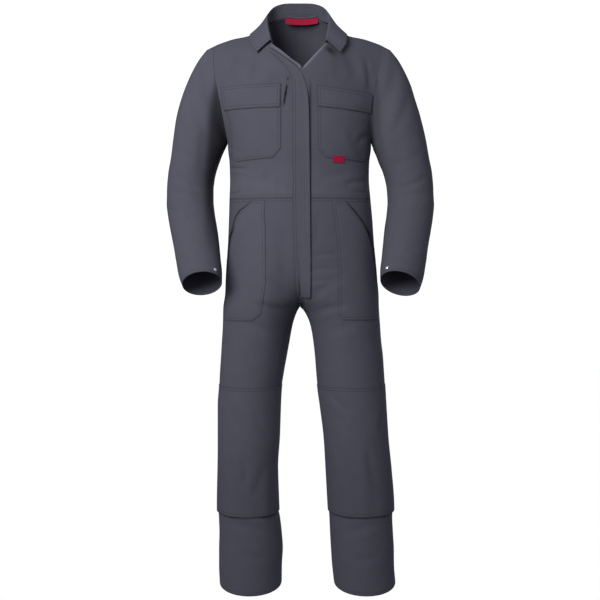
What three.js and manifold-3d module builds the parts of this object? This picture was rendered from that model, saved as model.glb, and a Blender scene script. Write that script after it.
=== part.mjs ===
import * as THREE from "three";
import { mergeVertices } from "three/addons/utils/BufferGeometryUtils.js";
import Module from "manifold-3d";

// Boiler suit, filled out as worn and hollow, in millimetres with Z up.
// The front faces -Y and the wearer's right is at -X.
// The origin is the middle of the neck base, level with the upper shoulder line.

const wasm = await Module();
wasm.setup();

const cloth = 1.6;
const seam = 0.4;
const waist = -440;
const shoulderTip = -18;
const armpit = -287;
const crotch = -734;
const neckMiddle = -4;
const neckReach = 82;

const twill = { color: "#4b4b57", roughness: 0.9, metalness: 0 };
const redTape = { color: "#6b1f30", roughness: 0.8, metalness: 0 };
const steel = { color: "#b4b4b8", roughness: 0.35, metalness: 1 };

// A table is a line of column names and one row of numbers for each place.
function table(names, rows) {
  const columns = names.split(" ");
  return rows.map((row) => Object.fromEntries(columns.map((name, index) => [name, row[index]])));
}

// Smooth value of every column at a place along the first column, without overshoot.
function readTable(rows, place) {
  const names = Object.keys(rows[0]);
  const key = names[0];
  const last = rows.length - 1;
  const direction = Math.sign(rows[last][key] - rows[0][key]);
  const first = direction * rows[0][key];
  const end = direction * rows[last][key];
  const at = direction * THREE.MathUtils.clamp(direction * place, first, end);
  let low = 0;
  while (low < last - 1 && direction * at > direction * rows[low + 1][key]) low += 1;
  const a = rows[low];
  const b = rows[low + 1];
  const span = b[key] - a[key];
  const t = (at - a[key]) / span;
  const slope = (index, name) => {
    if (index <= 0 || index >= last) return (b[name] - a[name]) / span;
    const here = rows[index];
    const before = (here[name] - rows[index - 1][name]) / (here[key] - rows[index - 1][key]);
    const after = (rows[index + 1][name] - here[name]) / (rows[index + 1][key] - here[key]);
    return before * after <= 0 ? 0 : (2 * before * after) / (before + after);
  };
  const values = {};
  for (const name of names) {
    const startSlope = slope(low, name) * span;
    const endSlope = slope(low + 1, name) * span;
    const t2 = t * t;
    const t3 = t2 * t;
    values[name] = (2 * t3 - 3 * t2 + 1) * a[name] + (t3 - 2 * t2 + t) * startSlope
      + (3 * t2 - 2 * t3) * b[name] + (t3 - t2) * endSlope;
  }
  return values;
}

// Outward normals of a grid of points. side is 1 or -1, ring closes the columns,
// and level(row, column) names the axes along which the cut edge stays flat.
function gridNormals(grid, side, ring, level) {
  const rows = grid.length;
  const columns = grid[0].length;
  return grid.map((line, r) => line.map((point, c) => {
    const left = ring ? line[(c + columns - 1) % columns] : line[Math.max(c - 1, 0)];
    const right = ring ? line[(c + 1) % columns] : line[Math.min(c + 1, columns - 1)];
    const along = right.clone().sub(left);
    const across = grid[Math.min(r + 1, rows - 1)][c].clone().sub(grid[Math.max(r - 1, 0)][c]);
    const normal = along.cross(across).normalize().multiplyScalar(side);
    for (const axis of level ? level(r, c) : "") normal[axis] = 0;
    return normal.normalize();
  }));
}

// Closed wall between the outer points and the same points moved in by the thickness.
function wallGeometry(grid, normals, thickness, side, ring) {
  const rows = grid.length;
  const columns = grid[0].length;
  const points = [];
  grid.forEach((line) => line.forEach((point) => points.push(point.clone())));
  grid.forEach((line, r) => line.forEach((point, c) => {
    points.push(point.clone().addScaledVector(normals[r][c], -thickness));
  }));
  const count = rows * columns;
  const faces = [];
  const steps = ring ? columns : columns - 1;
  for (let r = 0; r < rows - 1; r += 1) {
    for (let c = 0; c < steps; c += 1) {
      const next = (c + 1) % columns;
      const quad = [r * columns + c, r * columns + next, (r + 1) * columns + next, (r + 1) * columns + c];
      if (side < 0) quad.reverse();
      faces.push([quad[0], quad[1], quad[2]], [quad[0], quad[2], quad[3]]);
    }
  }
  const directed = new Set();
  faces.forEach((face) => face.forEach((a, i) => directed.add(`${a} ${face[(i + 1) % 3]}`)));
  const index = [];
  for (const face of faces) {
    index.push(...face, face[0] + count, face[2] + count, face[1] + count);
    face.forEach((a, i) => {
      const b = face[(i + 1) % 3];
      if (!directed.has(`${b} ${a}`)) index.push(b, a, a + count, b, a + count, b + count);
    });
  }
  const geometry = new THREE.BufferGeometry();
  const numbers = points.flatMap((point) => [point.x, point.y, point.z]);
  geometry.setAttribute("position", new THREE.Float32BufferAttribute(numbers, 3));
  geometry.setIndex(index);
  return geometry;
}

const group = new THREE.Group();

function addPiece(name, geometry, finish) {
  const mesh = new THREE.Mesh(geometry, new THREE.MeshStandardMaterial(finish));
  mesh.name = name;
  geometry.computeVertexNormals();
  group.add(mesh);
  return mesh;
}

// A cloth piece straight from its outer points. The wall is remembered for what lies on it.
function addWall(name, grid, side, { ring = false, level = null, thickness = cloth, finish = twill } = {}) {
  const normals = gridNormals(grid, side, ring, level);
  addPiece(name, wallGeometry(grid, normals, thickness, side, ring), finish);
  return { grid, side, normals };
}

function toManifold(geometry) {
  return new wasm.Manifold(new wasm.Mesh({
    numProp: 3,
    vertProperties: new Float32Array(geometry.attributes.position.array),
    triVerts: new Uint32Array(geometry.index.array),
  }));
}

// A patch is the panel's own wall moved out by lift(x, z), cut to an outline of x and z in front view.
function addPatch(name, panel, outline, lift, { thickness = cloth, finish = twill } = {}) {
  const { grid, side } = panel;
  const normals = gridNormals(grid, side, false, null);
  const moved = grid.map((line, r) => line.map((point, c) => (
    point.clone().addScaledVector(normals[r][c], lift(point.x, point.z) + thickness)
  )));
  const shell = toManifold(wallGeometry(moved, normals, thickness, side, false));
  const corners = outline.map(([x, z]) => [x, z]);
  const area = corners.reduce((sum, [x, z], i) => {
    const [nextX, nextZ] = corners[(i + 1) % corners.length];
    return sum + x * nextZ - nextX * z;
  }, 0);
  if (area < 0) corners.reverse();
  const cutter = wasm.Manifold.extrude([corners], 500).rotate([90, 0, 0]);
  const piece = shell.intersect(cutter);
  const mesh = piece.getMesh();
  const geometry = new THREE.BufferGeometry();
  geometry.setAttribute("position", new THREE.BufferAttribute(Float32Array.from(mesh.vertProperties), 3));
  geometry.setIndex(Array.from(mesh.triVerts));
  addPiece(name, mergeVertices(geometry, 1e-3), finish);
}

// Bodice: half width, middle and depths at each height. edgeFront and edgeBack are the depths left
// at the armhole, and turn is how far round the row has curved when it meets that edge.
const bodyRows = table("z half middle front back edgeFront edgeBack turn", [
  [-440, 194, 0, 116, 118, 0, 0, 90],
  [-385, 191, -1.4, 118, 120, 0, 0, 90],
  [-340, 192, -1.7, 121, 123, 0, 0, 90],
  [-300, 196.5, -1.4, 123.6, 127.5, 0, 0, 90],
  [-287, 197, -1.4, 124, 128.5, 0, 0, 90],
  [-280, 197.6, -1.8, 124, 128.7, 12, 13, 86],
  [-262, 198.6, -3, 123.8, 129, 26, 28, 80.5],
  [-235, 200.6, -5, 123.4, 129, 40, 43, 74.5],
  [-200, 204, -8, 122.5, 129, 52, 56, 68.5],
  [-160, 209.6, -10.3, 121.3, 129, 60, 65, 63],
  [-120, 217, -10.8, 119.7, 128.4, 65, 71, 59],
  [-85, 223, -10, 118.4, 127.4, 66, 73, 56],
  [-43, 227, -9, 117, 126, 65, 72, 52],
  [-18, 227.6, -8.7, 116, 125, 64, 70, 50],
]);

// Height of the shoulder ridge by distance from the neck middle, for the front and for the back.
const ridgeFront = table("reach z", [
  [0, 58], [40, 55], [82, 44], [107, 25.5], [141, 10], [177, 2.5], [204, -6], [225, -14], [233, -18],
]);
const ridgeBack = table("reach z", [
  [0, 116], [34, 110], [62, 92], [76, 66], [82, 44], [107, 25.5], [141, 10], [177, 2.5], [204, -6],
  [225, -14], [233, -18],
]);
const neckBack = table("reach z", [[0, 79], [34, 76], [62, 66], [76, 53], [82, 44]]);

function readRidge(rows, x) {
  return readTable(rows, Math.abs(x - neckMiddle)).z;
}

// Depth of the bodice at x and z: a part ellipse across, rolling over to the shoulder seam on top.
function bodyDepth(x, z, isFront) {
  const row = readTable(bodyRows, z);
  const across = Math.min(Math.abs(x - row.middle) / row.half, 1);
  const full = isFront ? row.front : row.back;
  const edge = isFront ? row.edgeFront : row.edgeBack;
  const below = readRidge(isFront ? ridgeFront : ridgeBack, x) - z;
  const drop = THREE.MathUtils.clamp(below / (isFront ? 170 : 160), 0, 1);
  const power = isFront ? 1.5 : 1.7;
  const roll = (1 - (1 - drop) ** power) ** (1 / power);
  const depth = Math.cbrt((full ** 3 - edge ** 3) * (1 - across ** 2) ** 1.5 + edge ** 3);
  return Math.max(depth * roll, seam / 2);
}

// Heights of the rows at the outer border: side seam first, then up the armhole in even turns.
const armholeSteps = 9;
const outerRows = [waist + seam / 2, -408, -376, -345, -315];
for (let step = 0; step <= armholeSteps; step += 1) {
  const turn = Math.PI * (1 - step / armholeSteps);
  outerRows.push(shoulderTip - ((shoulderTip - armpit) * (1 - Math.cos(turn))) / 2);
}

// Inner border of the two fronts at the same rows: centre edge, the point of the V, then the neckline.
const frontEdge = table("rightX rightZ leftX leftZ", [
  [-12.2, -439.8, -11.8, -439.8],
  [-12.2, -400, -11.8, -400],
  [-12.2, -356, -11.8, -356],
  [-12.2, -312, -11.8, -312],
  [-12.2, -268, -11.8, -268],
  [-12.2, -226, -11.8, -226],
  [-12.2, -188, -11.8, -188],
  [-12.2, -155, -11.8, -156],
  [-12.2, -127, -11.5, -128],
  [4, -97.5, 5, -100],
  [-24, -71, 28, -72],
  [-52, -45.5, 50, -46],
  [-75, -24, 69, -21],
  [-83, 12, 76, 12],
  [-86, 44, 78, 44],
]);

function outerPlace(row, side) {
  const shape = readTable(bodyRows, outerRows[row]);
  return shape.middle + side * shape.half;
}

// How far the outer border at a height is lifted, so that the top meets the shoulder ridge there.
function shoulderLift(side, z) {
  const tip = readTable(bodyRows, shoulderTip);
  const ridge = readRidge(ridgeFront, tip.middle + side * tip.half);
  return (ridge - shoulderTip) * Math.max((z - waist) / (shoulderTip - waist), 0) ** 1.6;
}

function frontGrid(side) {
  const columns = 10;
  return outerRows.map((outerZ, r) => {
    const innerX = side < 0 ? frontEdge[r].rightX : frontEdge[r].leftX;
    const innerZ = side < 0 ? frontEdge[r].rightZ : frontEdge[r].leftZ;
    const outerX = outerPlace(r, side);
    const turn = THREE.MathUtils.degToRad(readTable(bodyRows, outerZ).turn);
    const height = Math.max((outerZ - waist) / (shoulderTip - waist), 0) ** 2;
    const line = [];
    for (let c = 0; c <= columns; c += 1) {
      const share = c / columns;
      const x = innerX + ((outerX - innerX) * Math.sin(share * turn)) / Math.sin(turn);
      const flatZ = innerZ + (outerZ + shoulderLift(side, outerZ) - innerZ) * share;
      const innerRidge = readRidge(ridgeFront, innerX);
      const lineRidge = THREE.MathUtils.lerp(innerRidge, readRidge(ridgeFront, outerX), share);
      const z = flatZ + (readRidge(ridgeFront, x) - lineRidge) * height;
      line.push(new THREE.Vector3(x, -bodyDepth(x, z, true), z));
    }
    return line;
  });
}

// The cut edges lie flat in the planes of their seams.
const sideSeamRows = outerRows.length - 1 - armholeSteps;
function frontLevel(r, c) {
  const bottom = r === 0 ? "z" : "";
  const top = r === outerRows.length - 1 ? "y" : "";
  const sideSeam = c === 10 && r <= sideSeamRows ? "y" : "";
  const centre = c === 0 && r <= 8 ? "x" : "";
  return bottom + top + sideSeam + centre;
}
const frontRight = addWall("front_right", frontGrid(-1), -1, { level: frontLevel });
const frontLeft = addWall("front_left", frontGrid(1), 1, { level: frontLevel });

// One back from armhole to armhole. Its rows lift towards the neck as they climb.
const backShares = [0, 0.12, 0.23, 0.322, 0.44, 0.58, 0.72, 0.86, 1];
const backGrid = outerRows.map((outerZ, r) => {
  const shape = readTable(bodyRows, outerZ);
  const top = readTable(bodyRows, shoulderTip);
  const turn = THREE.MathUtils.degToRad(shape.turn);
  const topTurn = THREE.MathUtils.degToRad(top.turn);
  const climb = Math.max((outerZ - waist) / (shoulderTip - waist), 0) ** 1.6;
  const shares = [...backShares.slice(1).reverse().map((share) => -share), ...backShares];
  return shares.map((share) => {
    const topX = top.middle + (top.half * Math.sin(share * topTurn)) / Math.sin(topTurn);
    const reach = Math.abs(topX - neckMiddle);
    const topZ = reach < neckReach ? readTable(neckBack, reach).z : readRidge(ridgeBack, topX);
    const x = shape.middle + (shape.half * Math.sin(share * turn)) / Math.sin(turn);
    const z = r === 0 ? outerZ : outerZ + (topZ - shoulderTip) * climb;
    return new THREE.Vector3(x, bodyDepth(x, z, false), z);
  });
});
function backLevel(r, c) {
  const bottom = r === 0 ? "z" : "";
  const sideSeam = (c === 0 || c === 16) && r <= sideSeamRows ? "y" : "";
  const top = r === outerRows.length - 1 && (c <= 5 || c >= 11) ? "y" : "";
  return bottom + sideSeam + top;
}
const backPanel = addWall("back", backGrid, -1, { level: backLevel });

// Sleeves: crown and underarm lines seen from the front, then the middle and half depth.
// slope is how far the ring leans forward. The left sleeve is the mirror, moved by the last two,
// and its cuff tilts a little more.
const sleeveRows = table("ring crownX crownZ underX underZ y half slope leftCrown leftUnder", [
  [1, 257, -28, 200.5, -290.5, 0, 68, 0, -9, -3],
  [2, 277, -54, 202, -293.5, 0, 70, 0, -8, -3.5],
  [3, 294, -84, 204, -297, 0, 71, 0, -8, -4],
  [4, 311, -121, 207, -303, 1, 71.5, 0, -8, -5],
  [5, 326, -162, 211, -311, 2, 71, 0, -10, -5],
  [6, 340, -214, 216, -322, 3, 70, 0, -8, -5],
  [7, 348, -267, 222, -338, 4, 69, 0, -3, -5],
  [8, 355, -322, 229, -358, 5, 67.5, 0, 0, -3],
  [9, 363, -370, 235, -383, 5, 66, 2, 1, -1],
  [10, 366, -414, 238, -411, 3, 65, 6, 1, 1],
  [11, 366, -450, 237.5, -442, -3, 64, 12, 2, 3],
  [12, 361, -486, 233, -478, -14, 62, 19, 3, 4],
  [13, 351, -529, 224, -522, -34, 60, 26, 4, 5],
  [14, 340, -569, 217, -562, -57, 58, 31, 5, 6],
  [15, 330, -608, 211, -602, -83, 56, 34, 6, 6],
  [16, 320, -645, 205.5, -635, -107, 54, 37, 6, 6],
  [17, 308.5, -670, 204, -660, -126, 53, 38, 6, 6],
]);
const sleeveColumns = 18;

function sleevePoint(side, ring, turn) {
  const row = readTable(sleeveRows, ring);
  const crownX = row.crownX + (side > 0 ? row.leftCrown : 0);
  const underX = row.underX + (side > 0 ? row.leftUnder : 0);
  const slope = THREE.MathUtils.degToRad(row.slope);
  const tilt = side > 0 ? 7 * THREE.MathUtils.smoothstep(ring, 14, 17) : 0;
  const crown = Math.cos(turn);
  const front = Math.sin(turn);
  const x = (crownX + underX) / 2 + ((crownX - underX) / 2) * crown;
  const z = (row.crownZ + row.underZ) / 2 + ((row.crownZ - row.underZ) / 2 - tilt) * crown;
  return new THREE.Vector3(
    side * x,
    row.y - front * row.half * Math.cos(slope),
    z + front * row.half * Math.sin(slope),
  );
}

// The first ring stands just outside the armhole edges of the front and the back, and the next ones
// swell from that depth to the full depth of the sleeve.
function sleeveGrid(side) {
  const rings = [];
  const start = [];
  for (let c = 0; c < sleeveColumns; c += 1) {
    const turn = (c * 2 * Math.PI) / sleeveColumns;
    const height = shoulderTip - ((shoulderTip - armpit) * (1 - Math.cos(turn))) / 2;
    const shape = readTable(bodyRows, height);
    const x = shape.middle + side * shape.half;
    const z = height + shoulderLift(side, height);
    const depth = c === 0 || c * 2 === sleeveColumns ? 0 : bodyDepth(x, z, turn < Math.PI);
    start.push(new THREE.Vector3(x + side * 0.6, turn < Math.PI ? -depth : depth, z));
  }
  rings.push(start);
  for (let ring = 1; ring <= 17; ring += 1) {
    const line = [];
    for (let c = 0; c < sleeveColumns; c += 1) {
      const point = sleevePoint(side, ring, (c * 2 * Math.PI) / sleeveColumns);
      if (ring <= 4) point.x = side * Math.max(side * point.x, side * start[c].x + 1.5 * ring);
      point.y = THREE.MathUtils.lerp(start[c].y, point.y, THREE.MathUtils.smoothstep(ring, 0, 6));
      line.push(point);
    }
    rings.push(line);
  }
  return rings;
}

const sleeveLevel = (r) => (r === 0 ? "x" : "");
addWall("sleeve_right", sleeveGrid(-1), -1, { ring: true, level: sleeveLevel });
addWall("sleeve_left", sleeveGrid(1), 1, { ring: true, level: sleeveLevel });

// Legs: outer and inner reach from the middle plane, front and back depth. Above the crotch the
// inner reach is past the middle and the ring is cut off there, which leaves the U of the crotch seam.
const legDepths = table("z front back", [
  [-440, 116, 118], [-560, 119, 126], [-650, 117, 130], [-700, 114, 127], [-734, 110, 122],
  [-781, 104, 113], [-869, 96, 102], [-957, 90, 93], [-1089, 86, 88], [-1200, 84, 87],
  [-1309, 82, 85], [-1397, 83, 85], [-1485, 84, 85],
]);
const crotchInner = [
  [-440, -194], [-500, -192], [-560, -185], [-605, -165], [-650, -120], [-680, -76], [-700, -46],
  [-715, -25], [-727, -8],
];
const legInner = {
  right: table("z inner", [...crotchInner, [-734, 0.2], [-745, 7], [-781, 19.5], [-825, 28],
    [-869, 36], [-913, 44], [-957, 50.5], [-1001, 53], [-1089, 56], [-1177, 62], [-1287, 60],
    [-1309, 55.5], [-1353, 50], [-1397, 47], [-1441, 49.5], [-1485, 50]]),
  left: table("z inner", [...crotchInner, [-734, 0.2], [-745, 11], [-781, 27.5], [-825, 36],
    [-869, 41], [-913, 44.5], [-957, 48.5], [-1001, 54.5], [-1089, 65.5], [-1177, 71.5], [-1287, 79],
    [-1309, 80.5], [-1353, 82.5], [-1397, 85], [-1441, 88], [-1485, 93]]),
};
const legOuter = {
  right: table("z outer", [[-440, 194], [-495, 195.5], [-560, 198], [-605, 201], [-650, 203.5],
    [-700, 206], [-737, 211], [-781, 212], [-825, 214.5], [-869, 217], [-913, 220], [-957, 222],
    [-1001, 225], [-1089, 225], [-1177, 224.5], [-1287, 224], [-1309, 223], [-1353, 221.5],
    [-1397, 222.5], [-1441, 222.5], [-1485, 220.5]]),
  left: table("z outer", [[-440, 194], [-495, 199], [-560, 203.5], [-605, 208], [-650, 211.5],
    [-700, 216], [-737, 217], [-781, 220], [-825, 223], [-869, 228], [-913, 231], [-957, 234],
    [-1001, 236.5], [-1089, 242], [-1177, 249.5], [-1287, 254.5], [-1309, 253.5], [-1353, 255.5],
    [-1397, 258], [-1441, 258.5], [-1485, 262]]),
};
const legRows = [waist - seam / 2, -480, -520, -560, -600, -640, -672, -696, -713, -725, crotch, -742,
  -760, -790, -830, -869, -913, -945, -980, -1030, -1089, -1140, -1190, -1240, -1291, -1309, -1353,
  -1397, -1441, -1485];
const legColumns = 11;

function legShape(side, z) {
  const name = side < 0 ? "right" : "left";
  const outer = readTable(legOuter[name], z).outer;
  const inner = readTable(legInner[name], z).inner;
  const { front, back } = readTable(legDepths, z);
  const middle = (outer + inner) / 2;
  const half = (outer - inner) / 2;
  const endTurn = Math.acos(THREE.MathUtils.clamp((seam / 2 - middle) / half, -1, 1));
  return { middle, half, front, back, endTurn };
}

// The hem hangs a little lower at the front.
function hemDip(z) {
  return 15 * THREE.MathUtils.smoothstep(-z, 1397, 1485);
}

function legGrid(side, isFront) {
  return legRows.map((z) => {
    const { middle, half, front, back, endTurn } = legShape(side, z);
    const line = [];
    for (let c = 0; c <= legColumns; c += 1) {
      const turn = (endTurn * c) / legColumns;
      const depth = Math.max((isFront ? front : back) * Math.sin(turn), seam / 2);
      const dip = isFront ? hemDip(z) * Math.sin(turn) ** 0.7 : 0;
      const x = side * (middle + half * Math.cos(turn));
      line.push(new THREE.Vector3(x, isFront ? -depth : depth, z - dip));
    }
    return line;
  });
}

const crotchRow = legRows.indexOf(crotch);
function legLevel(r, c) {
  const bottom = r === 0 ? "z" : "";
  const sideSeam = c === 0 ? "y" : "";
  const inner = r < crotchRow ? "x" : "y";
  return bottom + sideSeam + (c === legColumns ? inner : "");
}
const legFrontRight = addWall("leg_front_right", legGrid(-1, true), -1, { level: legLevel });
const legFrontLeft = addWall("leg_front_left", legGrid(1, true), 1, { level: legLevel });
addWall("leg_back_right", legGrid(-1, false), 1, { level: legLevel });
addWall("leg_back_left", legGrid(1, false), -1, { level: legLevel });

// Front of the whole suit near the middle, for the placket.
function frontDepth(x, z) {
  if (z > waist) return bodyDepth(x, z, true);
  const side = x < 0 ? -1 : 1;
  const { middle, half, front } = legShape(side, z);
  const across = THREE.MathUtils.clamp((Math.abs(x) - middle) / half, -1, 1);
  return front * Math.sqrt(1 - across * across);
}

// Placket: the sewn edge and the free edge at each row, turning along the neckline on top.
const placketRows = table("sewnX sewnZ freeX freeZ", [
  [-9.8, -701, 28.7, -701], [-11, -680, 28.5, -680], [-12.5, -655, 28.2, -655],
  [-14, -625, 27.8, -625], [-15.5, -590, 27.4, -590], [-17, -550, 26.8, -550],
  [-18, -510, 26.3, -510], [-18.6, -470, 25.9, -470], [-18.9, -430, 25.6, -430],
  [-19, -390, 25.2, -390], [-19.2, -350, 24.8, -350], [-19.4, -310, 24.3, -310],
  [-19.5, -270, 23.8, -270], [-19.6, -235, 23.2, -235], [-19.6, -205, 22.4, -205],
  [-19.4, -178, 20.8, -179], [-19.6, -153, 17.6, -155], [-22.3, -128, 11, -131],
  [-29.5, -109, 3, -111], [-40, -92, -10, -96], [-54, -77, -31, -79], [-68, -62.5, -54, -61],
  [-80, -51, -75, -44.5],
]);
const placketGrid = placketRows.map((row) => {
  const line = [];
  for (let c = 0; c <= 4; c += 1) {
    const x = THREE.MathUtils.lerp(row.sewnX, row.freeX, c / 4);
    const z = THREE.MathUtils.lerp(row.sewnZ, row.freeZ, c / 4);
    line.push(new THREE.Vector3(x, -frontDepth(x, z), z));
  }
  return line;
});
const placketNormals = gridNormals(placketGrid, 1, false, null);
const placketOuter = placketGrid.map((line, r) => line.map((point, c) => (
  point.clone().addScaledVector(placketNormals[r][c], 1 + 2)
)));
addPiece("placket", wallGeometry(placketOuter, placketNormals, 2, 1, false), twill);

// Collar: stand from the neck seam to the roll line, then the fall to its outer edge.
// The rows run from the middle back to the collar point.
const collarRows = table("station seamX seamY seamZ rollX rollY rollZ edgeX edgeY edgeZ", [
  [0, 0, 68, 79.6, 0, 71, 119, 0, 100, 60],
  [1, 18, 67.5, 79, 19, 70, 118.8, 25, 99.5, 58],
  [2, 36, 65.5, 76.4, 38, 68, 117.5, 49, 97, 56],
  [3, 62, 55, 67, 64, 56, 107, 88, 78, 46],
  [4, 76, 28, 54, 79, 29, 86, 106, 42, 37],
  [5, 81, 0, 46, 85, 2, 66, 118, 4, 26],
  [6, 78.2, -32, 26, 84, -33, 42, 133, -27, 8],
  [7, 73.9, -58, 1, 80, -61, 15, 130, -57, -17],
  [8, 68.5, -79, -23, 73, -85, -17, 112, -84, -50],
]);

function collarStation(station) {
  const side = Math.sign(station) || 1;
  const row = readTable(collarRows, Math.abs(station));
  const place = (x, y, z) => new THREE.Vector3(neckMiddle + side * x, y, z);
  const seamPoint = place(row.seamX, row.seamY, row.seamZ);
  const roll = place(row.rollX, row.rollY, row.rollZ);
  const edge = place(row.edgeX, row.edgeY, row.edgeZ);
  const out = new THREE.Vector3(edge.x - seamPoint.x, edge.y - seamPoint.y, 0).normalize();
  const mixed = (a, b, share, push) => a.clone().lerp(b, share).addScaledVector(out, push);
  return [
    seamPoint,
    mixed(seamPoint, roll, 0.5, 0),
    mixed(seamPoint, roll, 0.9, 0),
    roll.clone().addScaledVector(out, 1.6),
    mixed(roll, edge, 0.1, 2.4),
    mixed(roll, edge, 0.45, 2),
    edge,
  ];
}

const collarGrid = [];
for (let step = -16; step <= 16; step += 1) collarGrid.push(collarStation(step / 2));
addWall("collar", collarGrid, -1);

// Chest pockets and their flaps: corners in front view, x and z.
const chestPocketRight = [[-50, -144], [-50, -309], [-71, -334], [-172, -341], [-184, -328],
  [-186, -250], [-200, -200], [-206, -146]];
const chestFlapRight = [[-50, -139.5], [-52.5, -202], [-95, -205], [-137, -207], [-203, -202],
  [-212, -141], [-137, -142]];
const chestPocketLeft = [[47, -148], [47, -309], [68, -334], [170, -341], [182, -328],
  [184, -250], [188, -212], [190, -163]];
const chestFlapLeft = [[44.5, -143], [47, -200], [100, -205], [189, -210], [194, -160],
  [151, -154], [108, -145]];
const pocketPuff = (x, z) => {
  const across = Math.cos(((Math.abs(x) - 118) / 70) * (Math.PI / 2));
  const up = Math.cos(((z + 250) / 100) * (Math.PI / 2));
  return 0.5 + 2 * Math.max(across, 0) * Math.max(up, 0);
};
addPatch("chest_pocket_right", frontRight, chestPocketRight, pocketPuff);
addPatch("chest_pocket_left", frontLeft, chestPocketLeft, pocketPuff);
const flapLift = (x, z) => pocketPuff(x, z) + cloth + 0.5 + 1.5 * THREE.MathUtils.smoothstep(-z, 150, 205);
addPatch("chest_flap_right", frontRight, chestFlapRight, flapLift);
addPatch("chest_flap_left", frontLeft, chestFlapLeft, flapLift);

// Thigh pockets: outlines with a curved opening on the right leg and a slanted one on the left.
const thighPocketRight = [[-92, -446], [-94, -480], [-91, -527], [-90, -666], [-103, -747],
  [-126, -765], [-205, -767], [-202, -700], [-200, -662], [-196, -604], [-188, -544],
  [-180.5, -523], [-175, -505], [-169, -488], [-159, -473], [-135, -455], [-124.5, -446]];
const thighPocketLeft = [[83, -446], [90.5, -490], [95, -530], [100, -595], [101, -745],
  [113, -762], [209, -765], [211, -700], [207, -650], [201, -590], [190, -546.5], [168.5, -507.5],
  [137.5, -468], [118, -446]];
const thighLift = (x, z) => 0.5 + 5 * THREE.MathUtils.smoothstep(Math.abs(x), 120, 180)
  * THREE.MathUtils.smoothstep(-z, 446, 500) * (1 - THREE.MathUtils.smoothstep(-z, 620, 740));
addPatch("thigh_pocket_right", legFrontRight, thighPocketRight, thighLift);
addPatch("thigh_pocket_left", legFrontLeft, thighPocketLeft, thighLift);

// Knee patches over the whole front of the leg. The bottom edge stands off the calf.
const kneeRight = [[-260, -945], [-260, -1290], [0, -1290], [0, -945]];
const kneeLeft = [[0, -945], [0, -1290], [300, -1290], [300, -945]];
const kneeLift = (x, z) => 0.5 + 2.6 * THREE.MathUtils.smoothstep(-z, 1100, 1290);
addPatch("knee_pocket_right", legFrontRight, kneeRight, kneeLift);
addPatch("knee_pocket_left", legFrontLeft, kneeLeft, kneeLift);

// Red tab over the bottom edge of the left chest pocket.
const tabLift = (x, z) => pocketPuff(x, z) + cloth + 0.4;
addPatch("pocket_label", frontLeft, [[86, -328], [86, -346], [116, -346], [116, -328]], tabLift,
  { thickness: 0.8, finish: redTape });

// Red strip inside the back neck, with a narrow loop above it. Both sag a little, and lie just inside
// the back panel or, above the neck seam, the collar stand.
const neckSeam = collarRows.slice(0, 6).map((row) => ({ reach: row.seamX, y: row.seamY, z: row.seamZ }));
function neckInside(x, z) {
  const seamPlace = readTable(neckSeam, Math.abs(x - neckMiddle));
  return Math.min(bodyDepth(x, Math.min(z, seamPlace.z - 1), false), seamPlace.y) - cloth;
}

function addNeckStrip(name, fromX, toX, bottomZ, topZ, sag, gap, thickness, finish) {
  const grid = [bottomZ, (bottomZ + topZ) / 2, topZ].map((height) => {
    const line = [];
    for (let step = 0; step <= 12; step += 1) {
      const x = THREE.MathUtils.lerp(fromX, toX, step / 12);
      const z = height - sag * Math.sin((Math.PI * step) / 12);
      line.push(new THREE.Vector3(x, neckInside(x, z) - gap - thickness, z));
    }
    return line;
  });
  addWall(name, grid, 1, { thickness, finish });
}
addNeckStrip("neck_label", -41, 50, 58.5, 75.5, 3, 2.2, 0.8, redTape);
addNeckStrip("hanger_loop", -36, 46, 77, 81.5, 3, 1.5, 1.2, twill);

// Press studs: a low dome on a rim, set on the front of each cuff near its inner side.
function addStud(name, side) {
  const profile = [[0, 2.4], [2.6, 2.1], [4.2, 1.2], [4.8, 0.9], [5, 0], [0, 0]];
  const points = profile.reverse().map(([radius, height]) => new THREE.Vector2(radius, height));
  const geometry = new THREE.LatheGeometry(points, 16);
  const turn = THREE.MathUtils.degToRad(136);
  const centre = sleevePoint(side, 16.55, turn);
  const along = sleevePoint(side, 16.65, turn).sub(sleevePoint(side, 16.45, turn));
  const across = sleevePoint(side, 16.55, turn + 0.05).sub(sleevePoint(side, 16.55, turn - 0.05));
  const normal = across.cross(along).normalize();
  if (normal.y > 0) normal.negate();
  geometry.applyQuaternion(new THREE.Quaternion().setFromUnitVectors(new THREE.Vector3(0, 1, 0), normal));
  geometry.translate(...centre.addScaledVector(normal, 0.5).toArray());
  geometry.deleteAttribute("uv");
  geometry.deleteAttribute("normal");
  addPiece(name, mergeVertices(geometry, 1e-3), steel);
}
addStud("cuff_stud_right", -1);
addStud("cuff_stud_left", 1);

export default group;
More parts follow.
